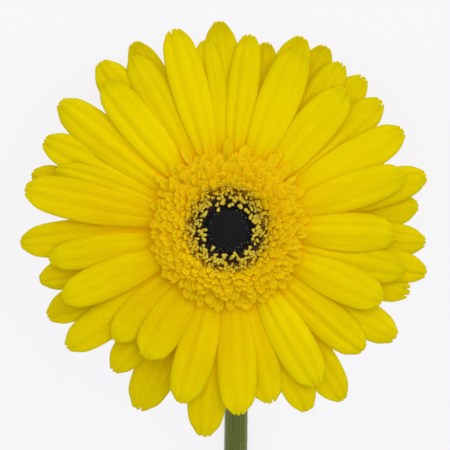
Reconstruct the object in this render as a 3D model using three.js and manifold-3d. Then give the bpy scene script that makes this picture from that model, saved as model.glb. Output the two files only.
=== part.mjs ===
// A cut gerbera lying face up on a surface: its leafless stem lies along -Y, bends up at
// the neck, and carries a head whose face looks up and away from the stem. The head rests
// on the tips of its far petals. Millimetres, +Z up, the surface at z = 0.
import * as THREE from "three";
import { mergeVertices } from "three/addons/utils/BufferGeometryUtils.js";
import Module from "manifold-3d";

const wasm = await Module();
wasm.setup();

// ---- Driving dimensions, in millimetres and degrees ----

// How the head is held.
const HEAD_HEIGHT = 30.5; // centre of the head above the surface
const HEAD_TILT = THREE.MathUtils.degToRad(35); // face, away from straight up

// The stem.
const STEM_LENGTH = 320; // along its line, from the head to the cut
const NECK_RADIUS = 3.1;
const STEM_RADIUS = 3.3;
const FOOT_RADIUS = 4; // at the cut end
const COLLAR_RADIUS = 3.9; // where the stem widens into the head
const STEM_SIDES = 12;
const NECK_STEPS = 8;
const STRAIGHT_STEPS = 8;
const CUT_SLANT = 4; // how much further the cut reaches on its upper side
const NECK_OFFSET = 2.4; // the stem leaves the head's middle line by this much
const NECK_OFFSET_BY = 60; // and has done so this far down
const BOW = 8; // sideways bow of the lying stem
const BOW_FROM = 80;

// The green cup of bracts, measured down from the plane of the petals' roots.
const CUP_DEPTH = 13.2;
const CUP_TOP = -3.8;
const CUP_RADIUS = 11.4;
const CUP_SIDES = 15; // one bract of each row to a side
const BRACT_ROWS = [
  { from: [6.1, -11.3], to: [12.6, -5.2], width: 3.3 },
  { from: [7.9, -9.1], to: [14.4, -3.3], width: 3.2 },
];
const BRACT_THICKNESS = 0.8;

// Ray florets, the long petals: bearing of each in degrees from the head's right hand,
// reach of its tip, full width, and its level from 0 in front to 4 at the back.
const RAYS = [
  [7, 51.6, 10.5, 4],
  [14.8, 55.2, 10, 2],
  [17.3, 49.8, 10, 0],
  [29, 54.1, 10.4, 1],
  [39.5, 53.9, 10, 2],
  [48.5, 55.1, 9.8, 3],
  [50.5, 49.3, 11.2, 0],
  [54.7, 54.3, 9.8, 2],
  [61.7, 56, 10, 4],
  [69, 52, 11.2, 0],
  [69.8, 55.5, 10.4, 2],
  [77.5, 51.5, 9, 3],
  [84.7, 52.7, 8.4, 1],
  [91, 55.9, 10, 2],
  [98, 51.3, 9, 1],
  [104.8, 55.7, 10, 0],
  [116, 56.4, 9.5, 3],
  [118, 53.3, 10, 1],
  [128, 56.7, 10.8, 2],
  [131, 51.5, 10.2, 0],
  [144.2, 56.8, 10.8, 1],
  [153.3, 54.9, 10, 2],
  [160, 48.8, 8.5, 1],
  [165.5, 54.9, 9.5, 3],
  [169.3, 55.5, 11, 0],
  [182.5, 55.9, 10.2, 2],
  [189.5, 48.6, 8.8, 1],
  [195.5, 52.4, 9.2, 3],
  [202.3, 48, 10, 0],
  [204.3, 53.9, 10, 4],
  [217.3, 53.6, 10.2, 2],
  [223, 42.5, 9.8, 1],
  [230, 48.9, 9.6, 3],
  [236.5, 40.9, 11, 0],
  [243, 54.1, 11.8, 4],
  [256, 48, 10.6, 0],
  [261.8, 55.9, 11, 2],
  [274.5, 49.6, 10.6, 0],
  [283, 47.8, 10.8, 1],
  [294.5, 53.1, 9.8, 2],
  [300, 48.1, 11, 0],
  [304, 55.3, 10.6, 3],
  [317.5, 48.6, 10.8, 1],
  [326.5, 53.6, 10.2, 2],
  [335.3, 45.6, 10.8, 0],
  [339.5, 51.6, 9.4, 3],
  [345.5, 48.5, 9.8, 1],
  [349, 54.5, 9.4, 2],
  [357.5, 53.2, 9.5, 3],
  [359.5, 45, 10.6, 0],
];
const RAY_ROOT = 9; // radius at which the petals start, sunk in their core
const CORE_RADIUS = 12.3;
const CORE_FLOOR = -3.5;
const CORE_TOP = 1.6;
const CORE_SIDES = 16;
const RAY_THICKNESS = 0.6;
const RAY_CAMBER = 0.55; // how much the middle stands above the edges
const RAY_RISE = 0.16; // slope at the root
const RAY_DROOP = 0.0035; // bend towards the tip
const RAY_TOP_LEVEL = 0.9; // height of the front row's roots
const RAY_LEVEL_STEP = 0.8;
const RAY_SPREAD = 0.01; // how fast the levels part along the petals
const RAY_STATIONS = [0, 0.18, 0.38, 0.58, 0.76, 0.89, 0.965, 1];
const RAY_NOTCH = 0.018; // depth of the notch in the tip, as a share of the length
const PRESS_SOFTNESS = 1.1; // how gently a petal bends where it meets the surface

// The yellow crown of trans florets: rings of small petals, outermost first. Each has
// its count, the reach and height of its tips, and the radius and height of its roots.
const CROWN = [
  { count: 26, reach: 22.4, top: 4.1, root: 12.9, foot: 3, width: 4.1 },
  { count: 24, reach: 19.7, top: 5.3, root: 12.8, foot: 3.2, width: 3.9 },
  { count: 22, reach: 17.3, top: 6.3, root: 12.6, foot: 3.4, width: 3.6 },
  { count: 20, reach: 15.1, top: 6.9, root: 12.3, foot: 3.6, width: 3.3 },
  { count: 17, reach: 13.1, top: 6.9, root: 12, foot: 3.8, width: 3 },
];
const CROWN_THICKNESS = 0.65;
const CROWN_BAND = [11.3, 13.3]; // the ring that carries it
const CROWN_JITTER = { bearing: 0.3, reach: 0.06, top: 0.35 };

// The disc: a ring of open florets round a dome of closed buds.
const SEAT = CORE_TOP + 0.35; // what the crown and the disc stand on
const OPEN_FLORETS = 54;
const OPEN_BAND = [6.65, 10.95];
const OPEN_FOOT = 3.4;
const OPEN_LENGTH = 2.6;
const OPEN_RADIUS = 0.6;
const OPEN_LEAN = 0.7;
const BUDS = 38;
const BUD_RADIUS = 0.6;
const BUD_HEIGHT = 0.75;
const DOME_RADIUS = 6.2;
const DOME_TOP = 5.1;
const DOME_RIM = 3.4;

const SEED = 20;
const GOLDEN_ANGLE = Math.PI * (3 - Math.sqrt(5));
const UP = new THREE.Vector3(0, 0, 1);

// ---- Tools ----

// Repeatable random numbers from 0 to 1.
function randomFrom(seed) {
  let state = seed;
  return () => {
    state = (state * 16807) % 2147483647;
    return state / 2147483647;
  };
}

const smooth = (t) => {
  const x = THREE.MathUtils.clamp(t, 0, 1);
  return x * x * (3 - 2 * x);
};

function geometryOf(points, triangles) {
  return new THREE.BufferGeometry()
    .setAttribute(
      "position",
      new THREE.Float32BufferAttribute(
        points.flatMap((p) => [p.x, p.y, p.z]),
        3,
      ),
    )
    .setIndex(triangles);
}

// A closed body through a run of rings, each a list of as many points, with flat ends.
function loft(rings) {
  const sides = rings[0].length;
  const triangles = [];
  for (let i = 0; i + 1 < rings.length; i++)
    for (let j = 0; j < sides; j++) {
      const [a, b] = [i * sides + j, i * sides + ((j + 1) % sides)];
      triangles.push(a, b, b + sides, a, b + sides, a + sides);
    }
  const last = (rings.length - 1) * sides;
  for (let j = 1; j + 1 < sides; j++) {
    triangles.push(0, j + 1, j);
    triangles.push(last, last + j, last + j + 1);
  }
  return geometryOf(rings.flat(), triangles);
}

// A closed blade over a grid: place(row, column) gives its middle surface, and the two
// faces lie half the thickness either side of it along lift. Both split the same way.
function blade(rows, columns, place, thickness, lift) {
  const half = lift.clone().multiplyScalar(thickness / 2);
  const middle = [];
  for (let i = 0; i < rows; i++)
    for (let j = 0; j < columns; j++) middle.push(place(i, j));
  const points = [
    ...middle.map((p) => p.clone().add(half)),
    ...middle.map((p) => p.clone().sub(half)),
  ];
  const under = rows * columns;
  const at = (i, j) => i * columns + j;
  const triangles = [];
  for (let i = 0; i + 1 < rows; i++)
    for (let j = 0; j + 1 < columns; j++) {
      const [a, b, c, d] = [at(i, j), at(i + 1, j), at(i + 1, j + 1), at(i, j + 1)];
      triangles.push(a, b, c, a, c, d);
      triangles.push(under + a, under + c, under + b, under + a, under + d, under + c);
    }
  const rim = [];
  for (let i = 0; i + 1 < rows; i++) rim.push(at(i, 0));
  for (let j = 0; j + 1 < columns; j++) rim.push(at(rows - 1, j));
  for (let i = rows - 1; i > 0; i--) rim.push(at(i, columns - 1));
  for (let j = columns - 1; j > 0; j--) rim.push(at(0, j));
  rim.forEach((a, k) => {
    const b = rim[(k + 1) % rim.length];
    triangles.push(a, under + a, under + b, a, under + b, b);
  });
  return geometryOf(points, triangles);
}

// A three.js geometry as a solid, and a solid as a geometry.
function solidOf(geometry) {
  const bare = geometry.clone();
  bare.deleteAttribute("normal");
  bare.deleteAttribute("uv");
  const merged = mergeVertices(bare, 1e-4);
  const solid = new wasm.Manifold(
    new wasm.Mesh({
      numProp: 3,
      vertProperties: merged.attributes.position.array,
      triVerts: new Uint32Array(merged.index.array),
    }),
  );
  if (solid.volume() <= 0) throw new Error("a piece is inside out");
  return solid;
}

function geometryFrom(solid) {
  const mesh = solid.getMesh();
  return new THREE.BufferGeometry()
    .setAttribute("position", new THREE.BufferAttribute(mesh.vertProperties, 3))
    .setIndex(new THREE.BufferAttribute(mesh.triVerts, 1));
}

const fused = (geometries) =>
  geometryFrom(geometries.map(solidOf).reduce((whole, piece) => whole.add(piece)));

// A body turned about the head's axis from [radius, height] points, listed so that the
// outline runs from its bottom to its top on the outer side.
function turned(outline, segments) {
  return new THREE.LatheGeometry(
    outline.map(([r, z]) => new THREE.Vector2(r, z)),
    segments,
  ).rotateX(Math.PI / 2);
}

// ---- The head, in its own frame: +Z out of its face, +Y to its far side ----

// Height of a point of the head above the surface.
const heightOf = (p) =>
  HEAD_HEIGHT - p.y * Math.sin(HEAD_TILT) + p.z * Math.cos(HEAD_TILT);

// A petal that would reach through the surface bends up and lies on it.
function pressed(p) {
  const least = RAY_THICKNESS / 2;
  const above = heightOf(p) - least;
  const eased = PRESS_SOFTNESS * Math.log1p(Math.exp(above / PRESS_SOFTNESS));
  const lift = Math.max(eased - above, 0) / Math.cos(HEAD_TILT);
  return p.add(new THREE.Vector3(0, 0, lift));
}

// Half-width of a long petal, as a share of its widest, at a share t of its length.
function rayOutline(t) {
  const shoulder = 0.68;
  if (t <= shoulder) return 0.3 + 0.7 * Math.sin((Math.PI / 2) * (t / shoulder)) ** 1.15;
  return (1 - ((t - shoulder) / (1.012 - shoulder)) ** 2.5) ** 0.5;
}

function rayFloret([bearing, reach, width, level], draw) {
  const roll = (draw() - 0.5) * 0.09;
  const sway = (draw() - 0.5) * 0.0014;
  const pitch = (draw() - 0.5) * 0.012;
  const length = reach - RAY_ROOT;
  const root = RAY_TOP_LEVEL - RAY_LEVEL_STEP * level;
  const place = (i, j) => {
    const side = j - 1; // -1, 0 and 1 across the petal
    const notch = i === RAY_STATIONS.length - 1 && side === 0 ? RAY_NOTCH : 0;
    const t = RAY_STATIONS[i] - notch;
    const along = length * t;
    const across = (side * width * rayOutline(RAY_STATIONS[i])) / 2;
    const arch = (RAY_RISE + pitch) * along - RAY_DROOP * along * along;
    const z =
      root + arch - RAY_SPREAD * level * along + roll * across - RAY_CAMBER * side * side * t;
    const p = new THREE.Vector3(RAY_ROOT + along, across + sway * along * along, z);
    return pressed(p.applyAxisAngle(UP, THREE.MathUtils.degToRad(bearing)));
  };
  return blade(RAY_STATIONS.length, 3, place, RAY_THICKNESS, UP);
}

function rayFlorets() {
  const draw = randomFrom(SEED);
  const core = turned(
    [
      [0, CORE_FLOOR],
      [CORE_RADIUS - 1, CORE_FLOOR],
      [CORE_RADIUS, CORE_FLOOR + 1],
      [CORE_RADIUS, CORE_TOP - 0.6],
      [CORE_RADIUS - 0.6, CORE_TOP],
      [0, CORE_TOP],
    ],
    CORE_SIDES,
  );
  return fused([core, ...RAYS.map((ray) => rayFloret(ray, draw))]);
}

// One small petal of the crown: narrow at its root, round at its tip.
function crownFloret(ring, bearing, reach, top) {
  const lean = Math.atan2(top - ring.foot, reach - ring.root);
  const lift = new THREE.Vector3(-Math.sin(lean), 0, Math.cos(lean)).applyAxisAngle(UP, bearing);
  const stations = [
    [0, 0.32],
    [0.72, 0.5],
    [1, 0.27],
  ];
  const place = (i, j) => {
    const [t, share] = stations[i];
    const p = new THREE.Vector3(
      THREE.MathUtils.lerp(ring.root, reach, t),
      (j === 0 ? -1 : 1) * share * ring.width,
      THREE.MathUtils.lerp(ring.foot, top, t) + (i === 1 ? 0.35 : 0),
    );
    return p.applyAxisAngle(UP, bearing);
  };
  return blade(stations.length, 2, place, CROWN_THICKNESS, lift);
}

function transFlorets() {
  const draw = randomFrom(SEED + 1);
  const [inner, outer] = CROWN_BAND;
  const band = [
    [inner, SEAT],
    [outer - 0.7, SEAT],
    [outer, SEAT + 0.5],
    [outer + 0.2, SEAT + 1.4],
    [outer - 1.1, SEAT + 2.6],
    [inner, SEAT + 2.9],
    [inner, SEAT],
  ];
  const pieces = [turned(band, CORE_SIDES)];
  CROWN.forEach((ring, row) => {
    for (let k = 0; k < ring.count; k++) {
      const turn = k + (row % 2) / 2 + (draw() - 0.5) * CROWN_JITTER.bearing;
      const reach = ring.reach * (1 + (draw() - 0.5) * 2 * CROWN_JITTER.reach);
      const top = ring.top + (draw() - 0.5) * CROWN_JITTER.top;
      pieces.push(crownFloret(ring, (2 * Math.PI * turn) / ring.count, reach, top));
    }
  });
  return fused(pieces);
}

// A short rod from one point towards another, of the given radii at its ends.
function rod(foot, tip, footRadius, tipRadius, sides) {
  const axis = tip.clone().sub(foot).normalize();
  const first = new THREE.Vector3(0.31, 0.95, 0.1).cross(axis).normalize();
  const second = axis.clone().cross(first);
  const ring = (centre, radius) =>
    Array.from({ length: sides }, (_, k) => {
      const a = (2 * Math.PI * k) / sides;
      return centre
        .clone()
        .addScaledVector(first, radius * Math.cos(a))
        .addScaledVector(second, radius * Math.sin(a));
    });
  return loft([ring(foot, footRadius), ring(tip, tipRadius)]);
}

function openFlorets() {
  const draw = randomFrom(SEED + 2);
  const [inner, outer] = OPEN_BAND;
  const band = [
    [inner, SEAT],
    [outer, SEAT],
    [outer, SEAT + 2],
    [(inner + outer) / 2, SEAT + 2.3],
    [inner, SEAT + 1.9],
    [inner, SEAT],
  ];
  const pieces = [turned(band, CORE_SIDES)];
  for (let k = 0; k < OPEN_FLORETS; k++) {
    const bearing = k * GOLDEN_ANGLE;
    const radius = THREE.MathUtils.lerp(inner + 0.8, outer - 1.3, draw());
    const foot = new THREE.Vector3(radius, 0, OPEN_FOOT);
    const outward = (draw() - 0.5) * OPEN_LEAN;
    const aside = (draw() - 0.5) * OPEN_LEAN;
    const way = new THREE.Vector3(outward, aside, 1).normalize();
    const tip = foot.clone().addScaledVector(way, OPEN_LENGTH * (0.8 + 0.4 * draw()));
    foot.applyAxisAngle(UP, bearing);
    tip.applyAxisAngle(UP, bearing);
    pieces.push(rod(foot, tip, OPEN_RADIUS * 0.8, OPEN_RADIUS, 4));
  }
  return fused(pieces);
}

// Height of the dome of buds at a radius.
const domeAt = (r) => DOME_TOP - (DOME_TOP - DOME_RIM) * (r / DOME_RADIUS) ** 2;

function discBuds() {
  const arc = [1, 0.75, 0.5, 0.25, 0].map((s) => [s * DOME_RADIUS, domeAt(s * DOME_RADIUS)]);
  const pieces = [turned([[0, SEAT], [DOME_RADIUS, SEAT], ...arc], CORE_SIDES)];
  for (let k = 0; k < BUDS; k++) {
    const r = (DOME_RADIUS - BUD_RADIUS) * Math.sqrt((k + 0.5) / BUDS);
    const a = k * GOLDEN_ANGLE;
    const foot = new THREE.Vector3(r * Math.cos(a), r * Math.sin(a), domeAt(r) - 0.4);
    const tip = foot.clone().add(new THREE.Vector3(0, 0, 0.4 + BUD_HEIGHT));
    pieces.push(rod(foot, tip, BUD_RADIUS, BUD_RADIUS * 0.4, 4));
  }
  return fused(pieces);
}

function bract({ from, to, width }, bearing) {
  const lean = Math.atan2(to[1] - from[1], to[0] - from[0]);
  const lift = new THREE.Vector3(-Math.sin(lean), 0, Math.cos(lean)).applyAxisAngle(UP, bearing);
  const stations = [
    [0, 0.5],
    [0.55, 0.42],
    [1, 0.06],
  ];
  const place = (i, j) => {
    const [t, share] = stations[i];
    const bulge = Math.sin(Math.PI * t) * 0.9;
    const p = new THREE.Vector3(
      THREE.MathUtils.lerp(from[0], to[0], t) + bulge * Math.sin(lean),
      (j === 0 ? -1 : 1) * share * width,
      THREE.MathUtils.lerp(from[1], to[1], t) - bulge * Math.cos(lean),
    );
    return p.applyAxisAngle(UP, bearing);
  };
  return blade(stations.length, 2, place, BRACT_THICKNESS, lift);
}

function involucre() {
  const cup = turned(
    [
      [0, -CUP_DEPTH],
      [COLLAR_RADIUS + 0.3, -CUP_DEPTH],
      [5.6, -12],
      [8, -9.4],
      [10.2, -6.6],
      [CUP_RADIUS, CUP_TOP - 0.8],
      [CUP_RADIUS, CUP_TOP],
      [0, CUP_TOP],
    ],
    CUP_SIDES,
  );
  const bracts = BRACT_ROWS.flatMap((row, n) =>
    Array.from({ length: CUP_SIDES }, (_, k) =>
      bract(row, (2 * Math.PI * (k + n / 2)) / CUP_SIDES),
    ),
  );
  return fused([cup, ...bracts]);
}

// ---- The stem, measured from the head's centre, along the surface ----

// The stem's middle line runs straight down out of the cup, round the neck and along the
// surface. Gives the point at a distance down it, with the direction that it runs in.
function stemLine(s, radius) {
  const flat = Math.cos(Math.PI / STEM_SIDES);
  const top = new THREE.Vector3(0, -1, 0)
    .multiplyScalar((CUP_DEPTH + 0.3) * Math.sin(HEAD_TILT))
    .setZ(HEAD_HEIGHT - (CUP_DEPTH + 0.3) * Math.cos(HEAD_TILT));
  const bend = (top.z - STEM_RADIUS * flat) / (1 - Math.sin(HEAD_TILT));
  const turn = Math.PI / 2 - HEAD_TILT;
  const left = Math.max(turn - s / bend, 0); // what is left of the neck's turn
  const centre = new THREE.Vector3(
    0,
    top.y - bend * Math.cos(HEAD_TILT),
    top.z + bend * Math.sin(HEAD_TILT),
  );
  const p = centre.add(new THREE.Vector3(0, bend * Math.sin(left), -bend * Math.cos(left)));
  p.y -= Math.max(s - bend * turn, 0);
  if (left === 0) p.z = radius * flat;
  p.x = NECK_OFFSET * smooth(s / NECK_OFFSET_BY) - BOW * smooth((s - BOW_FROM) / (STEM_LENGTH - BOW_FROM));
  return { p, left, neckLength: bend * turn };
}

function stemRadius(s) {
  const collar = (COLLAR_RADIUS - NECK_RADIUS) * (1 - smooth(s / 7));
  const body = THREE.MathUtils.lerp(NECK_RADIUS, STEM_RADIUS, smooth(s / 60));
  return body + collar + (FOOT_RADIUS - STEM_RADIUS) * smooth((s - 60) / (STEM_LENGTH - 60));
}

function stem() {
  const { neckLength } = stemLine(0, 0);
  const stops = [
    0,
    3.5,
    ...Array.from({ length: NECK_STEPS }, (_, k) => 7 + ((neckLength - 7) * k) / (NECK_STEPS - 1)),
    ...Array.from(
      { length: STRAIGHT_STEPS },
      (_, k) => neckLength + ((STEM_LENGTH - neckLength) * (k + 1)) / STRAIGHT_STEPS,
    ),
  ];
  const rings = stops.map((s, i) => {
    const radius = stemRadius(s);
    const { p, left } = stemLine(s, radius);
    const side = new THREE.Vector3(1, 0, 0);
    const over = new THREE.Vector3(0, -Math.sin(left), Math.cos(left));
    const cut = i === stops.length - 1 ? CUT_SLANT : 0;
    return Array.from({ length: STEM_SIDES }, (_, k) => {
      const a = (2 * Math.PI * (k + 0.5)) / STEM_SIDES - Math.PI / 2;
      const q = p
        .clone()
        .addScaledVector(side, radius * Math.cos(a))
        .addScaledVector(over, radius * Math.sin(a));
      q.y -= (cut * (1 + Math.sin(a))) / 2;
      return q;
    });
  });
  return loft(rings);
}

// ---- The flower ----

function mesh(name, geometry, color, roughness) {
  const made = new THREE.Mesh(
    geometry,
    new THREE.MeshStandardMaterial({ color, roughness, metalness: 0 }),
  );
  made.name = name;
  return made;
}

const head = new THREE.Group();
head.add(
  mesh("involucre", involucre(), 0x6f8a3a, 0.7),
  mesh("ray_florets", rayFlorets(), 0xe4d200, 0.55),
  mesh("trans_florets", transFlorets(), 0xe6bc0c, 0.55),
  mesh("open_disc_florets", openFlorets(), 0xcdb63c, 0.6),
  mesh("disc_buds", discBuds(), 0x1d1a22, 0.6),
);
head.rotation.x = -HEAD_TILT;
head.position.z = HEAD_HEIGHT;

const flower = new THREE.Group();
flower.add(head, mesh("stem", stem(), 0x5d6a2c, 0.65));

// The origin lies on the surface, under the middle of the flower's box.
const box = new THREE.Box3().setFromObject(flower, true);
const middle = box.getCenter(new THREE.Vector3());
flower.position.set(-middle.x, -middle.y, 0);

export default flower;
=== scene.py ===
"""A cut gerbera lying face up: its petals, crown, disc, cup and stem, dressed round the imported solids.

Lengths are in millimetres until a mesh is built, when they become metres. The head is modelled in a
frame of its own, with its centre at zero, +Z out of its face and +Y to its far side.
"""

import logging
import math
from dataclasses import dataclass, field
from enum import Enum
from typing import Callable, Iterator, NamedTuple

import bpy
import numpy as np
from mathutils import Matrix, Vector


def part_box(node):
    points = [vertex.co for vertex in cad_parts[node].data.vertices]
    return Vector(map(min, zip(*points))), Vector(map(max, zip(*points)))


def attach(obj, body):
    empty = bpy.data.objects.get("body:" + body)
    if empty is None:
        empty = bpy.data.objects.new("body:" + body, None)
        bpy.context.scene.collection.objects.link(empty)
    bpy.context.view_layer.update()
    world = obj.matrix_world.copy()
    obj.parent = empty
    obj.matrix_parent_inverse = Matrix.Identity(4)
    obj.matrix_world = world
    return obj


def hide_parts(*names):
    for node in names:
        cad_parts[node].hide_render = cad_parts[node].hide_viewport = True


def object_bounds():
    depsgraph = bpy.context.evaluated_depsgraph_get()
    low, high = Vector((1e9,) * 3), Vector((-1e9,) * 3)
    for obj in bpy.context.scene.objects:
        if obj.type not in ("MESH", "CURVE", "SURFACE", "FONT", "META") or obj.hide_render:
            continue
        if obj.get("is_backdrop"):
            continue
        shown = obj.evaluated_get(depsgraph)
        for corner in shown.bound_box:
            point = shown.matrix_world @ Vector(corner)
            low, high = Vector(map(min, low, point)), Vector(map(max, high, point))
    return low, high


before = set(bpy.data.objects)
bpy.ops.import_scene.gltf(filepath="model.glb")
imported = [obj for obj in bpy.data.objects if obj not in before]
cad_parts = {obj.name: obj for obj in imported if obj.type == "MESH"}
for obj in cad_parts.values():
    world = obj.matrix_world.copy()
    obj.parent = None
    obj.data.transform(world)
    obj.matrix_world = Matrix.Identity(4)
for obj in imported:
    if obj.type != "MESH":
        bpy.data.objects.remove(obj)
CAD_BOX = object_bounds()

LOG = logging.getLogger("gerbera")
MM = 0.001  # one millimetre, in metres
BODY = "root"
TURN = 2 * math.pi
GOLDEN_ANGLE = math.pi * (3 - math.sqrt(5))
TINY = 1e-9
ASKEW = (0.3, 0.9, 0.31)  # a direction that no rod follows
FULLNESS = 2.5  # how squarely a blade rounds off towards its tip
DARKNESS = (0.0, 0.0, 0.0, 1.0)
# What a mesh's points carry for its finish: shares of the length and half-width, a shade partly
# by chance (half of it painted shade by bearing on the petals), 1 on the underside, and how far
# back or deep a part lies (painted shade on the petals' back layers).
CARRIED = ("along", "across", "tint", "under", "depth")
# Places of a Mix node's factor, its two colours and its mixed colour.
MIX_FACTOR, MIX_LOW, MIX_HIGH, MIX_RESULT = 0, 6, 7, 2

Array = np.ndarray
Colour = tuple[float, float, float, float]
Values = dict[str, Array | float]
Pair = tuple[float, float]


# ---- Small tools -----------------------------------------------------------------------------


class Draw:
    """Repeatable random numbers, drawn in the order that the solids draw theirs."""

    FACTOR = 16807
    PRIME = 2147483647

    def __init__(self, seed: int) -> None:
        """Starts a run of numbers.

        Args:
            seed: a whole number above zero.
        """
        self.state = seed

    def share(self) -> float:
        """Returns the next number from 0 to 1."""
        self.state = self.state * self.FACTOR % self.PRIME
        return self.state / self.PRIME

    def between(self, low: float, high: float) -> float:
        """Returns the next number from low to high."""
        return low + (high - low) * self.share()

    def spread(self, half: float) -> float:
        """Returns the next number from -half to half."""
        return self.between(-half, half)


def srgb(red: int, green: int, blue: int) -> Colour:
    """Turns a screen colour into the linear one that shaders take.

    Args:
        red: from 0 to 255, as green and blue are.
        green: see red.
        blue: see red.

    Returns:
        The linear colour, opaque.
    """

    def linear(value: int) -> float:
        """Returns one channel, from 0 to 1."""
        share = value / 255
        return share / 12.92 if share <= 0.04045 else ((share + 0.055) / 1.055) ** 2.4

    return (linear(red), linear(green), linear(blue), 1.0)


def smooth(values: Array | float, low: float = 0.0, high: float = 1.0) -> Array:
    """Rises gently from 0 at low to 1 at high.

    Args:
        values: where to read the curve.
        low: where it leaves 0.
        high: where it reaches 1.

    Returns:
        The curve's values.
    """
    share = np.clip((np.asarray(values, float) - low) / (high - low), 0, 1)
    return share * share * (3 - 2 * share)


def hump(values: Array, middle: Array | float, width: float) -> Array:
    """Returns a smooth hump, 1 high at its middle and gone a few widths away."""
    return np.exp(-(((values - middle) / width) ** 2))


def steps_round(sides: int) -> Array:
    """Returns the angles of equal steps round an axis."""
    return TURN * np.arange(sides) / sides


def bent(t: Array, start: Array, middle: Array, end: Array) -> Array:
    """Draws a line that bends towards a middle point.

    Args:
        t: shares of the way along it, in an array that spreads over x, y and z.
        start: its first point.
        middle: what it bends towards.
        end: its last point.

    Returns:
        The points at those shares.
    """
    return (1 - t) ** 2 * start + 2 * t * (1 - t) * middle + t**2 * end


def turn_z(points: Array, angle: float) -> Array:
    """Turns points about the Z axis.

    Args:
        points: an array whose last axis is x, y and z.
        angle: in radians.

    Returns:
        The turned points.
    """
    c, s = math.cos(angle), math.sin(angle)
    return points @ np.array([[c, s, 0], [-s, c, 0], [0, 0, 1]])


def blade_outline(t: Array, root: float, shoulder: float, blunt: float, ease: float) -> Array:
    """Half-width of a blade along its length, as a share of its widest.

    Args:
        t: share of the length, from 0 at the root to 1 at the tip.
        root: half-width at the root.
        shoulder: where the blade is widest.
        blunt: half-width left at the tip.
        ease: how quickly the root widens; 1 is a sine.

    Returns:
        The half-widths.
    """
    widen = np.sin(np.pi / 2 * np.clip(t / shoulder, 0, 1)) ** ease
    reach = (1 - shoulder) / (1 - blunt**2) ** (1 / FULLNESS)
    narrow = np.clip(1 - (np.clip(t - shoulder, 0, 1) / reach) ** FULLNESS, 0, 1) ** 0.5
    return np.where(t <= shoulder, root + (1 - root) * widen, narrow)


# ---- Where the flower lies --------------------------------------------------------------------


@dataclass
class HeadPose:
    """Where the head is held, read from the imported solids."""

    height: float = 30.5  # of the head's middle above the surface
    tilt: float = math.radians(35)
    dome_radius: float = 6.2  # of the solid dome
    seat: float = 1.95  # how far the dome's foot is in front of the head's middle
    centre: Vector = field(init=False)

    def __post_init__(self) -> None:
        """Finds the head's centre from the box of the dome of buds."""
        low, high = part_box("disc_buds")
        x = (low.x + high.x) / 2 / MM
        y = low.y / MM + self.dome_radius * math.cos(self.tilt) - self.seat * math.sin(self.tilt)
        self.centre = Vector((x, y, self.height))

    @property
    def face(self) -> Vector:
        """Returns the direction out of the head's face."""
        return Vector((0, math.sin(self.tilt), math.cos(self.tilt)))

    @property
    def far(self) -> Vector:
        """Returns the direction across the face to its far side."""
        return Vector((0, math.cos(self.tilt), -math.sin(self.tilt)))

    def place(self, points: Array) -> Array:
        """Moves points from the head's frame to where the flower lies.

        Args:
            points: in the head's frame.

        Returns:
            The same points in the flower's frame, in millimetres.
        """
        axes = np.array([(1, 0, 0), self.far, self.face])
        return points @ axes + np.array(self.centre)

    def above(self, points: Array) -> Array:
        """Returns how high points of the head's frame are above the surface."""
        return self.height - points[..., 1] * math.sin(self.tilt) + points[..., 2] * math.cos(self.tilt)

    def press(self, points: Array, least: float, softness: float) -> Array:
        """Bends what would reach through the surface up, so that it lies on it.

        Args:
            points: in the head's frame.
            least: how low a point may be.
            softness: how gently the bend starts.

        Returns:
            The points, pressed.
        """
        over = self.above(points) - least
        eased = softness * np.logaddexp(0, over / softness)
        pressed = points.copy()
        pressed[..., 2] += np.maximum(eased - over, 0) / math.cos(self.tilt)
        return pressed


# ---- Meshes -----------------------------------------------------------------------------------


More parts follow.
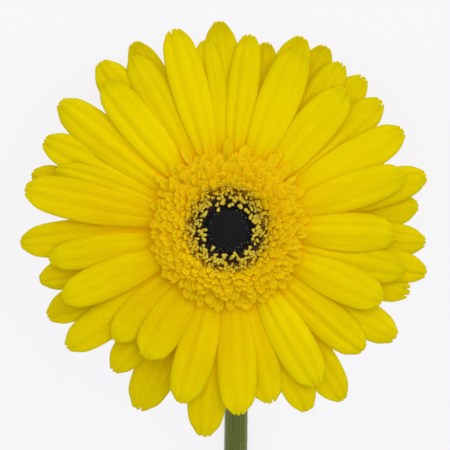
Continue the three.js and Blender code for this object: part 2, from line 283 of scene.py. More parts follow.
class Skin:
    """Gathers many small closed surfaces into the mesh of one piece, with values for its finish."""

    AXIS = 0.02  # the least radius of a turned body

    def __init__(self) -> None:
        """Starts an empty piece."""
        self.points: list[Array] = []
        self.faces: list[list[int]] = []
        self.values: dict[str, list[Array]] = {name: [] for name in CARRIED}
        self.count = 0

    def _take(self, points: Array, faces: list[list[int]], values: Values) -> None:
        """Adds points, faces and their values.

        Args:
            points: a list of points.
            faces: the corners of each face, counted from this surface's first point.
            values: one number a point, or one for all, under each name.
        """
        self.faces += [[corner + self.count for corner in face] for face in faces]
        self.points.append(points)
        self.count += len(points)
        for name, parts in self.values.items():
            parts.append(np.broadcast_to(np.asarray(values.get(name, 0.0), float), (len(points),)))

    def blade(self, middle: Array, thickness: Array | float, values: Values) -> None:
        """Adds a thin closed blade.

        Args:
            middle: the rows and columns of its middle surface.
            thickness: of the blade, everywhere or at each point.
            values: numbers for the finish, each one value or a row-and-column array.
        """
        rows, columns = middle.shape[:2]
        along = np.gradient(middle, axis=0)
        across = np.gradient(middle, axis=1)
        normal = np.cross(along, across)
        normal /= np.maximum(np.linalg.norm(normal, axis=2, keepdims=True), TINY)
        half = np.broadcast_to(np.asarray(thickness, float), (rows, columns))[..., None] / 2
        front, back = middle + normal * half, middle - normal * half
        both = np.concatenate([front.reshape(-1, 3), back.reshape(-1, 3)])
        under = rows * columns
        faces = []
        for i in range(rows - 1):
            for j in range(columns - 1):
                a, b = i * columns + j, (i + 1) * columns + j
                faces.append([a, b, b + 1, a + 1])
                faces.append([under + a, under + a + 1, under + b + 1, under + b])
        rim = [i * columns for i in range(rows - 1)]
        rim += [(rows - 1) * columns + j for j in range(columns - 1)]
        rim += [i * columns + columns - 1 for i in range(rows - 1, 0, -1)]
        rim += list(range(columns - 1, 0, -1))
        for a, b in zip(rim, rim[1:] + rim[:1]):
            faces.append([a, under + a, under + b, b])
        shared = {}
        for name, value in values.items():
            spread = np.broadcast_to(np.asarray(value, float), (rows, columns))
            shared[name] = np.tile(spread.reshape(-1), 2)
        shared["under"] = np.repeat([0.0, 1.0], under)
        self._take(both, faces, shared)

    def tube(self, path: Array, radii: Array, sides: int, values: Values) -> None:
        """Adds a closed round rod with capped ends.

        Args:
            path: the points that it runs through.
            radii: its radius at each.
            sides: the number of its sides.
            values: numbers for the finish, each one value or one at each point of the path.
        """
        ways = np.gradient(path, axis=0)
        ways /= np.linalg.norm(ways, axis=1, keepdims=True)
        first = np.cross(ways, ASKEW)
        first /= np.linalg.norm(first, axis=1, keepdims=True)
        second = np.cross(ways, first)
        angles = steps_round(sides)[None, :, None]
        wide = radii[:, None, None]
        rings = (
            path[:, None]
            + wide * first[:, None] * np.cos(angles)
            + wide * second[:, None] * np.sin(angles)
        )
        self.rings(rings, values)

    def hair(self, root: Array, way: Array, radii: tuple[float, ...]) -> None:
        """Adds one fine three-sided hair.

        Args:
            root: where it stands.
            way: from there to its tip.
            radii: in equal steps from its root to its tip.
        """
        t = np.linspace(0, 1, len(radii))
        self.tube(root + t[:, None] * way, np.array(radii), 3, {"along": t})

    def rings(self, rings: Array, values: Values) -> None:
        """Adds a closed surface through rings of points, with a flat cap at each end.

        Args:
            rings: the points of each ring, anticlockwise about the way that the rings follow.
            values: numbers for the finish, each one value, one a ring, or one a point.
        """
        count, sides = rings.shape[:2]
        faces = []
        for i in range(count - 1):
            for j in range(sides):
                a, b = i * sides + j, i * sides + (j + 1) % sides
                faces.append([a, b, b + sides, a + sides])
        faces.append(list(range(sides))[::-1])
        faces.append([(count - 1) * sides + j for j in range(sides)])
        spread = {}
        for name, value in values.items():
            array = np.asarray(value, float)
            array = array[:, None] if array.ndim == 1 else array
            spread[name] = np.broadcast_to(array, (count, sides)).reshape(-1)
        self._take(rings.reshape(-1, 3), faces, spread)

    def turned(
        self,
        outline: list[Pair],
        sides: int,
        hollow: bool = False,
        across: Callable[[Array], Array] = np.zeros_like,
    ) -> None:
        """Adds a body turned about the Z axis.

        Args:
            outline: radius and height, up its outer side; a solid one starts and ends on the axis.
            sides: the number of steps round it.
            hollow: whether the outline closes on itself, as a ring's does.
            across: gives the finish's "across" number at each radius.
        """
        angles = steps_round(sides)
        radii = np.array([max(radius, self.AXIS) for radius, _ in outline])
        heights = np.array([height for _, height in outline])
        x, y = radii[:, None] * np.cos(angles), radii[:, None] * np.sin(angles)
        rings = np.stack([x, y, np.repeat(heights[:, None], sides, axis=1)], axis=2)
        values = {"along": radii / radii.max(), "tint": np.full(len(radii), 0.5), "across": across(radii)}
        if not hollow:
            self.rings(rings, values)
            return
        count = len(outline)

        def corner(i: int, j: int) -> int:
            """Returns the number of a point, by its place in the outline and its step round."""
            return (i % count) * sides + j % sides

        faces = [
            [corner(i, j), corner(i, j + 1), corner(i + 1, j + 1), corner(i + 1, j)]
            for i in range(count)
            for j in range(sides)
        ]
        spread = {name: np.repeat(value, sides) for name, value in values.items()}
        self._take(rings.reshape(-1, 3), faces, spread)

    def build(
        self,
        name: str,
        material: bpy.types.Material,
        place: Callable[[Array], Array] | None = None,
    ) -> bpy.types.Object:
        """Makes the piece.

        Args:
            name: of the piece.
            material: its finish.
            place: moves its points to where the flower lies, if they aren't there yet.

        Returns:
            The new object, in metres.
        """
        points = np.concatenate(self.points)
        if place is not None:
            points = place(points)
        mesh = bpy.data.meshes.new(name)
        mesh.from_pydata((points * MM).tolist(), [], self.faces)
        mesh.polygons.foreach_set("use_smooth", [True] * len(mesh.polygons))
        for key, parts in self.values.items():
            layer = mesh.attributes.new(key, "FLOAT", "POINT")
            layer.data.foreach_set("value", np.concatenate(parts).astype(np.float32))
        mesh.materials.append(material)
        mesh.validate()
        mesh.update()
        piece = bpy.data.objects.new(name, mesh)
        bpy.context.scene.collection.objects.link(piece)
        return piece


def settle(piece: bpy.types.Object, slot: str, *nodes: str) -> bpy.types.Object:
    """Says what a finished piece rides on and stands for.

    Args:
        piece: the object.
        slot: not used.
        nodes: the solids that it stands for.

    Returns:
        The same object.
    """
    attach(piece, BODY)
    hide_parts(*nodes)
    LOG.info("%s: %d faces", piece.name, len(piece.data.polygons))
    return piece


# ---- Shader arithmetic ------------------------------------------------------------------------


class Signal:
    """A shader socket that plain arithmetic can be done on."""

    def __init__(self, tree: "Finish", socket: bpy.types.NodeSocket) -> None:
        """Wraps a socket.

        Args:
            tree: the finish that the socket's node is in.
            socket: an output.
        """
        self.tree = tree
        self.socket = socket

    def _math(self, operation: str, *values: "Signal | float") -> "Signal":
        """Returns the result of a Math node on the values."""
        return self.tree.node("ShaderNodeMath", {"operation": operation}, dict(enumerate(values)))

    def __add__(self, other: "Signal | float") -> "Signal":
        """Returns the sum."""
        return self._math("ADD", self, other)

    def __radd__(self, other: float) -> "Signal":
        """Returns the sum, from the right."""
        return self._math("ADD", other, self)

    def __sub__(self, other: "Signal | float") -> "Signal":
        """Returns the difference."""
        return self._math("SUBTRACT", self, other)

    def __rsub__(self, other: float) -> "Signal":
        """Returns the difference, from the right."""
        return self._math("SUBTRACT", other, self)

    def __mul__(self, other: "Signal | float") -> "Signal":
        """Returns the product."""
        return self._math("MULTIPLY", self, other)

    def __rmul__(self, other: float) -> "Signal":
        """Returns the product, from the right."""
        return self._math("MULTIPLY", other, self)

    def __pow__(self, other: float) -> "Signal":
        """Returns the power."""
        return self._math("POWER", self, other)

    def rise(self, low: float, high: float) -> "Signal":
        """Returns a smooth rise from 0 at low to 1 at high."""
        inputs = {"Value": self, "From Min": low, "From Max": high}
        return self.tree.node("ShaderNodeMapRange", {"interpolation_type": "SMOOTHSTEP"}, inputs)

    def size(self) -> "Signal":
        """Returns the absolute value."""
        return self._math("ABSOLUTE", self)

    def sine(self) -> "Signal":
        """Returns the sine."""
        return self._math("SINE", self)


class Finish:
    """A material under way, whose nodes come from one method."""

    RAYS_FOR_DEPTH = 6  # how many rays each look round a point takes

    def __init__(self, name: str) -> None:
        """Starts a material.

        Args:
            name: of the material.
        """
        self.material = bpy.data.materials.new(name)
        self.material.use_nodes = True
        self.nodes = self.material.node_tree.nodes
        self.links = self.material.node_tree.links
        self.shader = self.nodes["Principled BSDF"]

    def node(
        self,
        kind: str,
        settings: dict[str, str | int],
        inputs: dict[int | str, "Signal | float | tuple"],
        output: int | str = 0,
    ) -> Signal:
        """Adds a node.

        Args:
            kind: the node's type.
            settings: its properties, set before its sockets.
            inputs: the value or link of each socket, by name or place.
            output: the name or place of the output wanted.

        Returns:
            That output.
        """
        made = self.nodes.new(kind)
        for name, value in settings.items():
            setattr(made, name, value)
        for key, value in inputs.items():
            self.feed(made.inputs[key], value)
        return Signal(self, made.outputs[output])

    def feed(self, socket: bpy.types.NodeSocket, value: "Signal | float | tuple") -> None:
        """Links a signal to a socket, or sets the socket's own value.

        Args:
            socket: an input.
            value: a signal, or a number, colour or vector.
        """
        if isinstance(value, Signal):
            self.links.new(value.socket, socket)
        else:
            socket.default_value = value

    def value(self, name: str) -> Signal:
        """Returns a number that the mesh carries."""
        return self.node("ShaderNodeAttribute", {"attribute_name": name}, {}, "Fac")

    def place(self) -> Signal:
        """Returns the position in the flower's frame, in metres."""
        return self.node("ShaderNodeTexCoord", {}, {}, "Object")

    def point(self, x: Signal | float, y: Signal | float, z: Signal | float) -> Signal:
        """Returns a vector of three numbers."""
        return self.node("ShaderNodeCombineXYZ", {}, {0: x, 1: y, 2: z})

    def noise(self, where: Signal, scale: float, detail: float = 2.0) -> Signal:
        """Returns soft noise from 0 to 1.

        Args:
            where: the position to read it at.
            scale: its fineness.
            detail: how many finer layers it has.

        Returns:
            The noise.
        """
        inputs = {"Vector": where, "Scale": scale, "Detail": detail}
        return self.node("ShaderNodeTexNoise", {}, inputs, "Fac")

    def blend(self, share: Signal | float, low: Signal | Colour, high: Signal | Colour) -> Signal:
        """Returns a colour between two.

        Args:
            share: 0 for low and 1 for high.
            low: a colour.
            high: a colour.

        Returns:
            The mixed colour.
        """
        inputs = {MIX_FACTOR: share, MIX_LOW: low, MIX_HIGH: high}
        return self.node("ShaderNodeMix", {"data_type": "RGBA"}, inputs, MIX_RESULT)

    def crevice(self, reach: float) -> Signal:
        """Returns how deep a point lies between its neighbours, from 0 in the open to 1.

        Args:
            reach: how far away a neighbour still counts, in millimetres.

        Returns:
            The depth.
        """
        settings = {"samples": self.RAYS_FOR_DEPTH}
        openness = self.node("ShaderNodeAmbientOcclusion", settings, {"Distance": reach * MM}, "AO")
        return 1 - openness

    def bump(self, height: Signal, depth: float) -> Signal:
        """Returns a normal that a height pushes about.

        Args:
            height: from 0 to 1.
            depth: of the relief, in millimetres.

        Returns:
            The normal.
        """
        inputs = {"Strength": 1.0, "Distance": depth * MM, "Height": height}
        return self.node("ShaderNodeBump", {}, inputs)

    def finish(self, **sockets: "Signal | float | tuple") -> bpy.types.Material:
        """Sets the shader's sockets and returns the material.

        Args:
            sockets: a value or link under each socket's name, with _ for a space.

        Returns:
            The material.
        """
        for name, value in sockets.items():
            self.feed(self.shader.inputs[name.replace("_", " ")], value)
        return self.material


# ---- Finishes ---------------------------------------------------------------------------------


@dataclass(frozen=True)
class PetalFinish:
    """The satin skin of a long petal: lemon, golden at its base, with painted shade at its edges, on its
    back layers and on one side of the head, and painted light, shade and glow in the gaps between petals.
    """

    name: str = "ray_petal"
    blade: Colour = srgb(226, 205, 0)
    deep: Colour = srgb(216, 184, 0)
    base: Colour = srgb(224, 168, 0)
    tip: Colour = srgb(215, 199, 0)
    rim: Colour = srgb(180, 170, 0)
    shade: Colour = srgb(202, 184, 0)
    painted_crevice_light_and_shade: Colour = srgb(246, 190, 0)
    outer_painted_crevice_shade: Colour = srgb(204, 176, 0)
    back: Colour = srgb(212, 196, 40)
    painted_crevice_glow: Colour = (0.07, 0.055, 0.0, 1.0)
    outer_painted_crevice_glow: Colour = (0.14, 0.095, 0.0, 1.0)
    gloss: Colour = (1.0, 0.9, 0.05, 1.0)
    veins: float = 34.0
    gap_reach: float = 5.0
    scatter: float = 0.8
    relief: float = 0.08

    def make(self) -> bpy.types.Material:
        """Makes the material.

        Returns:
            The material.
        """
        f = Finish(self.name)
        along, across, tint, layer = map(f.value, ("along", "across", "tint", "depth"))
        streaks = f.noise(f.point(across * 4.5, along * 0.9, tint * 37.0), 1.0)
        blotch = f.noise(f.point(across * 1.1, along * 2.6, tint * 53.0), 1.3)
        veins = (across * self.veins + blotch * 6.0).sine()
        side = across.size()
        # Streaks, blotches and tint choose the deeper colour; the tint is half painted shade by bearing.
        shade = (streaks * 0.5 + blotch * 0.7 + tint * 0.8 - 0.62).rise(0.1, 0.95)
        colour = f.blend(shade, self.blade, self.deep)
        # The base is golden by its own colour, more so towards the edges; the extra on back layers is
        # painted shade.
        golden = 0.45 + side * 0.45 + layer * 0.5
        colour = f.blend(along.rise(0.5, 0.02) * golden, colour, self.base)
        colour = f.blend(along.rise(0.55, 1.0) * 0.85, colour, self.tip)
        # Painted shade on the outer part of the back layers, standing for the front layers' shadow.
        colour = f.blend(layer * along.rise(0.3, 0.7) * 0.6, colour, self.shade)
        # Painted shade along the edges and the tip, where the petal curves down.
        edge = (side.rise(0.7, 1.0) + along.rise(0.9, 1.0)) * along.rise(0.5, 0.9)
        colour = f.blend(edge * 0.4, colour, self.rim)
        # In the crevices between petals: painted bounce light by the base, painted shade further out, and
        # a painted glow for light passing through the petals.
        painted_crevice_light_and_shade = f.blend(along.rise(0.3, 0.75), self.painted_crevice_light_and_shade, self.outer_painted_crevice_shade)
        painted_crevice_glow = f.blend(along.rise(0.2, 0.5), self.painted_crevice_glow, self.outer_painted_crevice_glow)
        depth = f.crevice(self.gap_reach).rise(0.1, 0.9)
        colour = f.blend(depth, colour, painted_crevice_light_and_shade)
        colour = f.blend(f.value("under") * 0.6, colour, self.back)
        return f.finish(
            Base_Color=colour,
            Roughness=0.55 + blotch * 0.12,
            Subsurface_Weight=0.6,
            Subsurface_Radius=(1.0, 0.95, 0.3),
            Subsurface_Scale=self.scatter * MM,
            Specular_IOR_Level=0.1,
            Specular_Tint=self.gloss,
            Emission_Color=f.blend(depth**2.5, DARKNESS, painted_crevice_glow),
            Emission_Strength=1.0,
            Normal=f.bump(veins * 0.12 + streaks, self.relief),
        )


@dataclass(frozen=True)
class CrownFinish:
    """The skin of the crown's small petals: golden, lemon towards the rim, with deeper orange painted
    light and a painted glow in the gaps.
    """

    name: str = "crown_petal"
    golden: Colour = srgb(223, 188, 4)
    lemon: Colour = srgb(226, 196, 2)
    hollow: Colour = srgb(223, 184, 0)
    painted_crevice_light_and_shade: Colour = srgb(242, 196, 0)
    painted_crevice_glow: Colour = (0.08, 0.06, 0.0, 1.0)
    gloss: Colour = (1.0, 0.85, 0.1, 1.0)
    grain: float = 900.0
    gap_reach: float = 1.6
    scatter: float = 0.4
    relief: float = 0.04

    def make(self) -> bpy.types.Material:
        """Makes the material.

        Returns:
            The material.
        """
        f = Finish(self.name)
        along, across, tint = map(f.value, ("along", "across", "tint"))
        mottle = f.noise(f.place(), self.grain, 3.0)
        colour = f.blend(tint.rise(0.1, 0.9), self.golden, self.lemon)
        colour = f.blend(along.rise(0.9, 0.4) * 0.7, colour, self.hollow)
        colour = f.blend(across.size().rise(0.5, 1.0) * 0.4, colour, self.lemon)
        # Painted bounce light in the crevices between florets, and a painted glow for light passing
        # through them.
        depth = f.crevice(self.gap_reach).rise(0.1, 0.8)
        colour = f.blend(depth, colour, self.painted_crevice_light_and_shade)
        return f.finish(
            Base_Color=colour,
            Roughness=0.5 + mottle * 0.15,
            Subsurface_Weight=0.45,
            Subsurface_Radius=(1.0, 0.92, 0.3),
            Subsurface_Scale=self.scatter * MM,
            Specular_IOR_Level=0.25,
            Specular_Tint=self.gloss,
            Emission_Color=f.blend(depth**1.5 * (0.4 + tint * 0.55), DARKNESS, self.painted_crevice_glow),
            Emission_Strength=1.0,
            Normal=f.bump(mottle, self.relief),
        )


@dataclass(frozen=True)
class PollenFinish:
    """The pale yellow anthers and stigmas of the open florets, dusted with pollen."""

    name: str = "open_floret"
    pale: Colour = srgb(209, 190, 68)
    golden: Colour = srgb(212, 178, 14)
    foot: Colour = srgb(160, 112, 8)
    grain: float = 4200.0
    relief: float = 0.05

    def make(self) -> bpy.types.Material:
        """Makes the material.

        Returns:
            The material.
        """
        f = Finish(self.name)
        grain = f.noise(f.place(), self.grain)
        colour = f.blend(f.value("tint"), self.pale, self.golden)
        colour = f.blend(f.value("along").rise(0.35, 0.0), colour, self.foot)
        colour = f.blend(grain.rise(0.5, 0.75) * 0.3, colour, self.golden)
        return f.finish(
            Base_Color=colour,
            Roughness=0.75 + grain * 0.1,
            Specular_IOR_Level=0.12,
            Normal=f.bump(grain, self.relief),
        )


@dataclass(frozen=True)
class DarkFloretFinish:
    """The corollas among the open florets: near black by the dome, golden brown by the crown, partly
    their own colour and partly painted shade.
    """

    name: str = "dark_corolla"
    dark: Colour = srgb(40, 26, 20)
    plum: Colour = srgb(58, 40, 38)
    amber: Colour = srgb(196, 146, 6)
    grain: float = 1500.0
    relief: float = 0.08

    def make(self) -> bpy.types.Material:
        """Makes the material.

        Returns:
            The material.
        """
        f = Finish(self.name)
        mottle = f.noise(f.place(), self.grain, 3.0)
        colour = f.blend(mottle.rise(0.4, 0.7) * (0.4 + f.value("tint") * 0.6), self.dark, self.plum)
        # Golden brown by the crown stands for yellow tubes in shade: partly their own colour, partly
        # painted shade.
        colour = f.blend(f.value("across") * mottle.rise(0.25, 0.5), colour, self.amber)
        return f.finish(
            Base_Color=colour,
            Roughness=0.6 + mottle * 0.2,
            Specular_IOR_Level=0.2,
            Normal=f.bump(mottle, self.relief),
        )


@dataclass(frozen=True)
class BudFinish:
    """The near-black closed buds, some tipped with purple or green by the rim."""

    name: str = "closed_bud"
    black: Colour = srgb(17, 17, 19)
    plum: Colour = srgb(70, 52, 84)
    moss: Colour = srgb(88, 96, 70)
    grain: float = 2400.0
    relief: float = 0.04

    def make(self) -> bpy.types.Material:
        """Makes the material.

        Returns:
            The material.
        """
        f = Finish(self.name)
        tip = f.value("along").rise(0.6, 1.0) * f.value("across")
        speck = f.blend(f.value("tint").rise(0.45, 0.55), self.plum, self.moss)
        mottle = f.noise(f.place(), self.grain)
        return f.finish(
            Base_Color=f.blend(tip, self.black, speck),
            Roughness=0.62 + mottle * 0.15,
            Specular_IOR_Level=0.22,
            Normal=f.bump(mottle, self.relief),
        )


@dataclass(frozen=True)
class GreenFinish:
    """Green plant skin with fine lengthwise ribs and a pale down."""

    name: str
    leaf: Colour
    deep: Colour
    tip: Colour
    tip_from: float
    ribs: float
    down: float
    bloom: Colour = srgb(214, 220, 190)
    grain: float = 1900.0
    relief: float = 0.12

    def make(self) -> bpy.types.Material:
        """Makes the material.

        Returns:
            The material.
        """
        f = Finish(self.name)
        along, across, tint = map(f.value, ("along", "across", "tint"))
        streaks = f.noise(f.point(across * self.ribs, along * 4.0, tint * 29.0), 1.0, 5.0)
        speck = f.noise(f.place(), self.grain)
        fine = f.noise(f.point(across * self.ribs * 6.0, along * 3.0, tint * 13.0), 1.0)
        colour = f.blend(streaks.rise(0.3, 0.7), self.leaf, self.deep)
        colour = f.blend(fine.rise(0.5, 0.75) * 0.35, colour, self.tip)
        colour = f.blend(along.rise(self.tip_from, 1.0), colour, self.tip)
        colour = f.blend(f.value("depth"), colour, self.tip)
        colour = f.blend(speck.rise(0.62, 0.8) * 0.3, colour, self.tip)
        return f.finish(
            Base_Color=colour,
            Roughness=0.5 + streaks * 0.2,
            Specular_IOR_Level=0.3,
            Sheen_Weight=self.down,
            Sheen_Roughness=0.35,
            Sheen_Tint=self.bloom,
            Normal=f.bump(streaks + fine * 0.5 + speck * 0.3, self.relief),
        )


@dataclass(frozen=True)
class DownFinish:
    """The fine pale hairs of the stem and cup."""

    name: str = "down"
    pale: Colour = srgb(206, 212, 178)
    root: Colour = srgb(146, 156, 98)

    def make(self) -> bpy.types.Material:
        """Makes the material.

        Returns:
            The material.
        """
        f = Finish(self.name)
        colour = f.blend(f.value("along"), self.root, self.pale)
        return f.finish(Base_Color=colour, Roughness=0.6, Specular_IOR_Level=0.2)


BRACT_GREEN = GreenFinish(
    name="bract",
    leaf=srgb(112, 130, 48),
    deep=srgb(86, 106, 34),
    tip=srgb(72, 74, 34),
    tip_from=0.6,
    ribs=5.0,
    down=0.12,
)
STEM_GREEN = GreenFinish(
    name="stem",
    leaf=srgb(101, 112, 34),
    deep=srgb(81, 93, 24),
    tip=srgb(120, 128, 54),
    tip_from=0.6,
    ribs=2.2,
    down=0.3,
)
CUT_GREEN = GreenFinish(
    name="stem_cut",
    leaf=srgb(198, 208, 154),
    deep=srgb(180, 192, 132),
    tip=srgb(132, 148, 78),
    tip_from=0.8,
    ribs=1.0,
    down=0.0,
)
RECEPTACLE_GREEN = GreenFinish(
    name="receptacle",
    leaf=srgb(200, 190, 60),
    deep=srgb(170, 168, 50),
    tip=srgb(150, 156, 50),
    tip_from=0.9,
    ribs=3.0,
    down=0.0,
)


# ---- Ray florets ------------------------------------------------------------------------------


class Layer(Enum):
    """The layers of long petals, front to back, as each piece is named."""

    FRONT = "rays_front"
    SECOND = "rays_second"
    THIRD = "rays_third"
    FOURTH = "rays_fourth"
    BACK = "rays_back"


class Ray(NamedTuple):
    """One long petal.

    Attributes:
        bearing: in degrees, from the head's right hand.
        reach: from the head's middle to its tip.
        width: at its widest.
        layer: from 0 in front to 4 at the back.
    """

    bearing: float
    reach: float
    width: float
    layer: int


RAYS = [
    Ray(*row)
    for row in (
        (7, 51.6, 10.5, 4),
        (14.8, 55.2, 10, 2),
        (17.3, 49.8, 10, 0),
        (29, 54.1, 10.4, 1),
        (39.5, 53.9, 10, 2),
        (48.5, 55.1, 9.8, 3),
        (50.5, 49.3, 11.2, 0),
        (54.7, 54.3, 9.8, 2),
        (61.7, 56, 10, 4),
        (69, 52, 11.2, 0),
        (69.8, 55.5, 10.4, 2),
        (77.5, 51.5, 9, 3),
        (84.7, 52.7, 8.4, 1),
        (91, 55.9, 10, 2),
        (98, 51.3, 9, 1),
        (104.8, 55.7, 10, 0),
        (116, 56.4, 9.5, 3),
        (118, 53.3, 10, 1),
        (128, 56.7, 10.8, 2),
        (131, 51.5, 10.2, 0),
        (144.2, 56.8, 10.8, 1),
        (153.3, 54.9, 10, 2),
        (160, 48.8, 8.5, 1),
        (165.5, 54.9, 9.5, 3),
        (169.3, 55.5, 11, 0),
        (182.5, 55.9, 10.2, 2),
        (189.5, 48.6, 8.8, 1),
        (195.5, 52.4, 9.2, 3),
        (202.3, 48, 10, 0),
        (204.3, 53.9, 10, 4),
        (217.3, 53.6, 10.2, 2),
        (223, 42.5, 9.8, 1),
        (230, 48.9, 9.6, 3),
        (236.5, 40.9, 11, 0),
        (243, 54.1, 11.8, 4),
        (256, 48, 10.6, 0),
        (261.8, 55.9, 11, 2),
        (274.5, 49.6, 10.6, 0),
        (283, 47.8, 10.8, 1),
        (294.5, 53.1, 9.8, 2),
        (300, 48.1, 11, 0),
        (304, 55.3, 10.6, 3),
        (317.5, 48.6, 10.8, 1),
        (326.5, 53.6, 10.2, 2),
        (335.3, 45.6, 10.8, 0),
        (339.5, 51.6, 9.4, 3),
        (345.5, 48.5, 9.8, 1),
        (349, 54.5, 9.4, 2),
        (357.5, 53.2, 9.5, 3),
        (359.5, 45, 10.6, 0),
    )
]


@dataclass
class RayPetals:
    """The long petals, in their five layers."""

    pose: HeadPose
    seed: int = 20
    own_seed: int = 27
    rows: int = 30
    columns: int = 23
    bunching: float = 1.35  # how much closer the rows stand at the tip
    root: float = 9.0
    base: float = 0.2  # half-width at the root, as a share of the widest
    ease: float = 1.4  # how slowly the root widens
    shoulder: float = 0.68  # where a petal is widest, as a share of its length
    blunt: Pair = (0.32, 0.48)  # how wide its tip is left
    thickness: float = 0.4
    top: float = 0.9  # height of the front layer's roots
    step: float = 0.66  # from one layer down to the next
    rise: float = 0.16  # slope of a petal at its root
    droop: float = 0.0035  # how soon that slope turns down
    spread: float = 0.01  # how much flatter each layer is than the one in front
    roll: float = 0.09  # the most that petals differ in twist, sideways bend and slope
    sway: float = 0.0014
    pitch: float = 0.012
    torn: Pair = (0.3, 1.1)  # depth of the two notches in a tip
    notch: Pair = (0.22, 0.42)  # their places, as shares of its half-width
    notch_width: float = 0.09
    camber: float = 0.85
    crease: Pair = (0.26, 0.42)  # places of the two creases along a petal
    crease_width: float = 0.17
    groove: float = 0.47  # their depth, and the shares of it that they have
    grooved: Pair = (0.2, 1.35)
    curl: Pair = (-0.7, 1.0)  # how far a rim curls by the tip
    ripple: float = 0.12  # height of the waves along the edges
    ripples: Pair = (7, 12)  # their fineness
    ripple_start: float = 6.28  # about one turn
    tip_bend: Pair = (-0.9, 0.7)
    least_painted_shade_bearing: float = 65.0  # bearing of the petals with the least painted shade
    least: float = 0.24  # how low a petal's middle may lie, and how gently it is held there
    softness: float = 1.1

    def shares(self) -> tuple[Array, Array]:
        """Returns the rows' shares of a petal's length and the columns' of its half-width."""
        t = 1 - (1 - np.linspace(0, 1, self.rows)) ** self.bunching
        return t[:, None], np.linspace(-1, 1, self.columns)[None, :]

    def surface(self, ray: Ray, draw: Draw, own: Draw) -> Array:
        """Gives the middle surface of one petal.

        Args:
            ray: the petal.
            draw: the numbers that the solids draw too.
            own: the numbers for what only shows here.

        Returns:
            The rows and columns of its points, in the head's frame.
        """
        roll, sway, pitch = (
            (draw.share() - 0.5) * most for most in (self.roll, self.sway, self.pitch)
        )
        blunt = own.between(*self.blunt)
        t, s = self.shares()
        half = blade_outline(t, self.base, self.shoulder, blunt, self.ease) * ray.width / 2
        teeth = 0.25 * ray.width * blunt * np.abs(s) ** 3
        torn = own.between(*self.torn)
        for side in (-1, 1):
            notch = side * own.between(*self.notch) + own.spread(0.1)
            deep = torn * (0.35 + 1.25 * own.share() ** 2)
            teeth += deep * hump(s, notch, self.notch_width)
        along = (ray.reach - self.root) * t - teeth * smooth(t, 0.9, 1.0)
        across = s * half
        arch = (self.rise + pitch) * along - self.droop * along**2
        height = self.top - self.step * ray.layer + arch - self.spread * ray.layer * along
        height = height + roll * across
        height = height + self.relief(t, s, own)
        points = np.stack([self.root + along, across + sway * along**2, height], axis=2)
        return self.pose.press(turn_z(points, math.radians(ray.bearing)), self.least, self.softness)

    def relief(self, t: Array, s: Array, own: Draw) -> Array:
        """Gives a petal's own camber, grooves and curled rim.

        Args:
            t: shares of its length.
            s: shares of its half-width, from -1 to 1.
            own: the petal's own numbers.

        Returns:
            Heights, by row and column.
        """
        body, tip = smooth(t, 0.02, 0.4), smooth(t, 0.62, 1.0)
        height = -self.camber * own.between(0.75, 1.25) * body * np.abs(s) ** 2
        fade = smooth(t, 0.0, 0.35) * (1 - 0.4 * smooth(t, 0.8, 1.0))
        for side in (-1, 1):
            middle = side * own.between(*self.crease) + own.spread(0.05) * (t - 0.5)
            depth = self.groove * own.between(*self.grooved)
            height -= depth * fade * hump(s, middle, self.crease_width)
        for side in (-1, 1):
            height += own.between(*self.curl) * tip * np.clip(side * s, 0, 1) ** 2.5
        wave, count = own.share() * self.ripple_start, own.between(*self.ripples)
        height += self.ripple * np.sin(count * t + wave + s) * np.abs(s) ** 2 * body
        return height + own.between(*self.tip_bend) * tip**2

    def build(self, material: bpy.types.Material) -> list[bpy.types.Object]:
        """Makes a piece of each layer.

        Args:
            material: the petals' finish.

        Returns:
            The pieces.
        """
        draw, own = Draw(self.seed), Draw(self.own_seed)
        skins = [Skin() for _ in Layer]
        t, s = self.shares()
        rim = 0.4 + 0.6 * (1 - np.abs(s) ** 4) * (1 - smooth(t, 0.9, 1.0) * 0.5)
        for ray in RAYS:
            middle = self.surface(ray, draw, own)
            # Tint is half chance and half painted shade by bearing; depth sets painted shade on the back
            # layers.
            painted_shade_by_bearing = 0.5 - 0.5 * math.cos(math.radians(ray.bearing - self.least_painted_shade_bearing))
            tint, depth = (own.share() + painted_shade_by_bearing) / 2, ray.layer / (len(skins) - 1)
            values = {"along": t, "across": s, "tint": tint, "depth": depth}
            skins[ray.layer].blade(middle, self.thickness * rim, values)
        return [
            settle(skin.build(layer.value, material, self.pose.place), "ray_petal", "ray_florets")
            for layer, skin in zip(Layer, skins)
        ]


@dataclass
class Receptacle:
    """The hidden head of the stem that the petals stand on, which shows between the bracts."""

    pose: HeadPose
    radius: float = 12.2
    floor: float = -3.78
    top: float = 1.6
    sides: int = 96

    def build(self, material: bpy.types.Material) -> bpy.types.Object:
        """Makes the piece.

        Args:
            material: its finish.

        Returns:
            The piece.
        """
        skin = Skin()
        outline = [
            (0, self.floor),
            (self.radius * 0.6, self.floor),
            (self.radius - 1.0, self.floor + 0.15),
            (self.radius, self.floor + 1.1),
            (self.radius + 0.1, self.floor + 2.6),
            (self.radius, self.top - 0.7),
            (self.radius - 0.7, self.top),
            (self.radius * 0.5, self.top),
            (0, self.top),
        ]
        skin.turned(outline, self.sides)
        piece = skin.build("receptacle", material, self.pose.place)
        return settle(piece, "ray_petal", "ray_florets")


# ---- Trans florets ----------------------------------------------------------------------------


